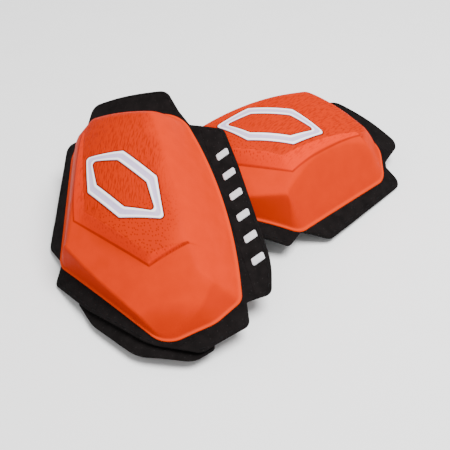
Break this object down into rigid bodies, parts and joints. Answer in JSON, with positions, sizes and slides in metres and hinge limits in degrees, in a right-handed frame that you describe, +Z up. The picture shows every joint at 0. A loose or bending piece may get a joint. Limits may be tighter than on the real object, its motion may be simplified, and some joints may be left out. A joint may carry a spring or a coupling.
{
  "type": "knee slider pair",
  "caption": "Mirrored left and right knee sliders: hard faceted pucks on curved hook-and-loop backings with fold-up edge flaps, one leaning on the other.",
  "frame": {"origin": "middle of the pair, on the surface that both pads stand on", "axes": "+Z up, +Y from the front pad towards the rear pad, +X to the right seen from the front"},
  "size_m": [0.2376, 0.2304, 0.0846],
  "materials": {
    "moulded_puck": "orange moulded urethane, fine ground texture, semi-matte",
    "inlay": "pale inlay, smooth with a soft bevel",
    "foam": "closed-cell foam, matte",
    "stiff_plate": "thin stiff plate, matte",
    "backing_fabric": "black woven fabric, matte",
    "hook_tape": "black hook tape, matte",
    "thread": "dark sewing thread",
    "satin_stitch": "pale grey satin-stitch embroidery"
  },
  "bodies": {
    "rear_core": {"rear_puck_shell": "moulded_puck", "rear_emblem_inlay": "inlay", "rear_foam_core": "foam", "rear_base_plate": "stiff_plate", "rear_backing_core": "backing_fabric", "rear_hook_core": "hook_tape", "rear_under_layer": "hook_tape", "rear_core_stitching": "thread", "rear_outer_flap": "backing_fabric", "rear_outer_hook": "hook_tape", "rear_outer_stitching": "thread", "rear_inner_flap": "backing_fabric", "rear_inner_hook": "hook_tape", "rear_inner_stitching": "thread", "rear_inner_embroidery": "satin_stitch"},
    "rear_top_flap": {"rear_top_flap": "backing_fabric", "rear_top_hook": "hook_tape", "rear_top_stitching": "thread"},
    "rear_lower_flap": {"rear_lower_flap": "backing_fabric", "rear_lower_hook": "hook_tape", "rear_lower_stitching": "thread"},
    "front_core": {"front_puck_shell": "moulded_puck", "front_emblem_inlay": "inlay", "front_foam_core": "foam", "front_base_plate": "stiff_plate", "front_backing_core": "backing_fabric", "front_hook_core": "hook_tape", "front_under_layer": "hook_tape", "front_core_stitching": "thread", "front_outer_flap": "backing_fabric", "front_outer_hook": "hook_tape", "front_outer_stitching": "thread"},
    "front_top_flap": {"front_top_flap": "backing_fabric", "front_top_hook": "hook_tape", "front_top_stitching": "thread"},
    "front_lower_flap": {"front_lower_flap": "backing_fabric", "front_lower_hook": "hook_tape", "front_lower_stitching": "thread"},
    "front_inner_flap": {"front_inner_flap": "backing_fabric", "front_inner_hook": "hook_tape", "front_inner_stitching": "thread", "front_inner_embroidery": "satin_stitch"}
  },
  "joints": [
    {"name": "front_pad_lifts_off", "type": "slide", "parent": "rear_core", "child": "front_core", "axis": [0, 0, 1], "range_m": [0, 0.12]},
    {"name": "rear_top_fold", "type": "hinge", "parent": "rear_core", "child": "rear_top_flap", "pos_m": [0.08696, 0.085, 0.02007], "axis": [0.7836, -0.5926, -0.1864], "range_deg": [-20, 25], "stiffness_Nm_per_rad": 0.03},
    {"name": "rear_lower_fold", "type": "hinge", "parent": "rear_core", "child": "rear_lower_flap", "pos_m": [-0.06322, 0.01906, 0.01581], "axis": [-0.1234, 0.956, -0.2662], "range_deg": [0, 30], "stiffness_Nm_per_rad": 0.03},
    {"name": "front_top_fold", "type": "hinge", "parent": "front_core", "child": "front_top_flap", "pos_m": [-0.06858, 0.05158, 0.0555], "axis": [0.9069, -0.2613, 0.3307], "range_deg": [-20, 25], "stiffness_Nm_per_rad": 0.03},
    {"name": "front_lower_fold", "type": "hinge", "parent": "front_core", "child": "front_lower_flap", "pos_m": [-0.01068, -0.09653, 0.01507], "axis": [-0.8076, -0.5812, -0.1], "range_deg": [0, 30], "stiffness_Nm_per_rad": 0.03},
    {"name": "front_inner_fold", "type": "hinge", "parent": "front_core", "child": "front_inner_flap", "pos_m": [-0.00356, -0.02432, 0.04027], "axis": [0.2863, -0.8844, -0.3685], "range_deg": [0, 35], "stiffness_Nm_per_rad": 0.03}
  ]
}
